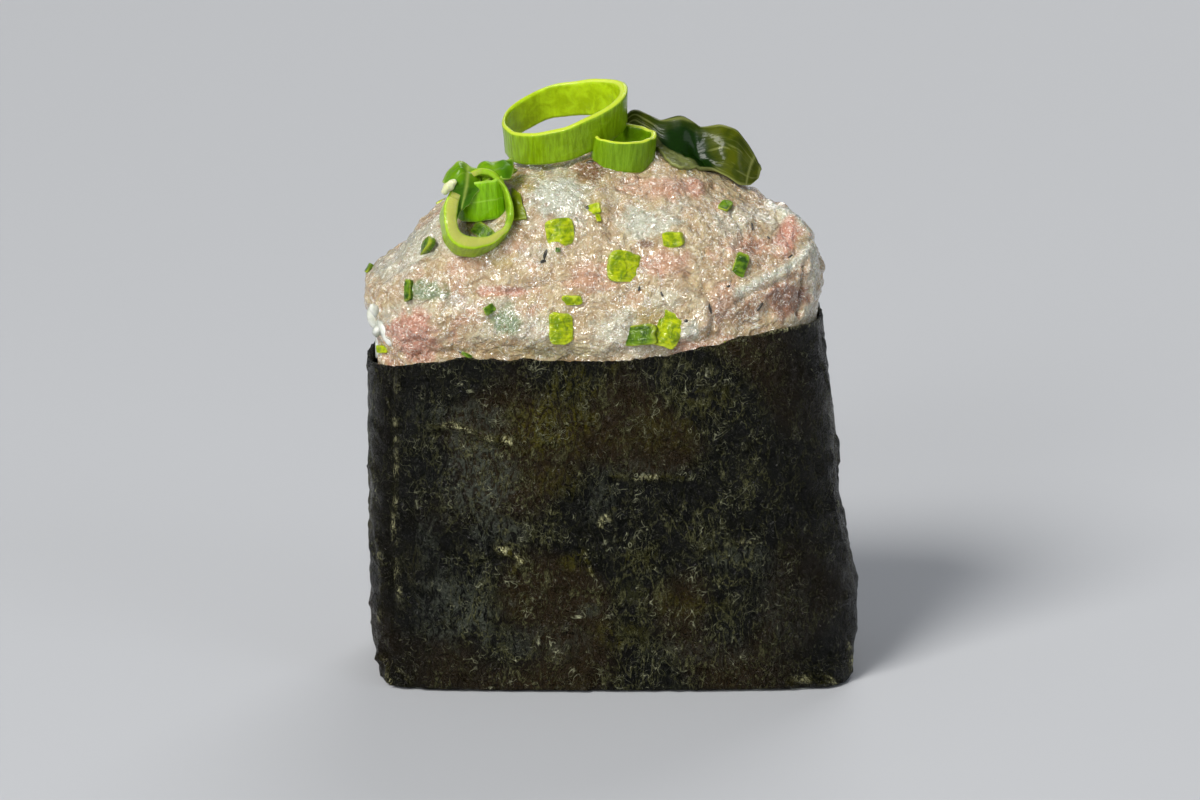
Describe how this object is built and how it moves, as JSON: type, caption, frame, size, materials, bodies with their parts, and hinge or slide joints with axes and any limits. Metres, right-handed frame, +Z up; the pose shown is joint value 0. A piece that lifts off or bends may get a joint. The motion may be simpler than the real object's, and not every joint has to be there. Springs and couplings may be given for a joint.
{
  "type": "gunkan maki sushi with minced tuna",
  "caption": "Gunkan maki: rice in an upright band of nori, heaped with minced fatty tuna and topped with cut scallion rings and leaves.",
  "frame": {"origin": "middle of the underside of the whole outline, on the surface that it stands on", "axes": "+X along the long side, to the right in the picture; +Y away from the viewer; +Z up"},
  "size_m": [0.052, 0.0279, 0.0624],
  "materials": {
    "nori": "dry toasted seaweed, near black olive, with a faint gloss",
    "rice": "cooked rice, moist and slightly translucent",
    "tuna": "wet minced fatty tuna, peach and cream",
    "scallion": "wet cut scallion, lime green",
    "scallion_pale": "wet cut scallion, cream flesh with a lime skin",
    "scallion_leaf": "wet scallion leaf, dark green"
  },
  "bodies": {
    "root": {"nori_wrap": "nori", "rice": "rice", "tuna": "tuna", "scallion_ring_large": "scallion", "scallion_ring_small": "scallion", "scallion_ring_left": "scallion_pale", "scallion_tube_inner": "scallion", "scallion_leaf_right": "scallion_leaf", "scallion_leaf_torn": "scallion", "scallion_leaf_back": "scallion", "scallion_tile": "scallion_leaf"}
  },
  "joints": []
}
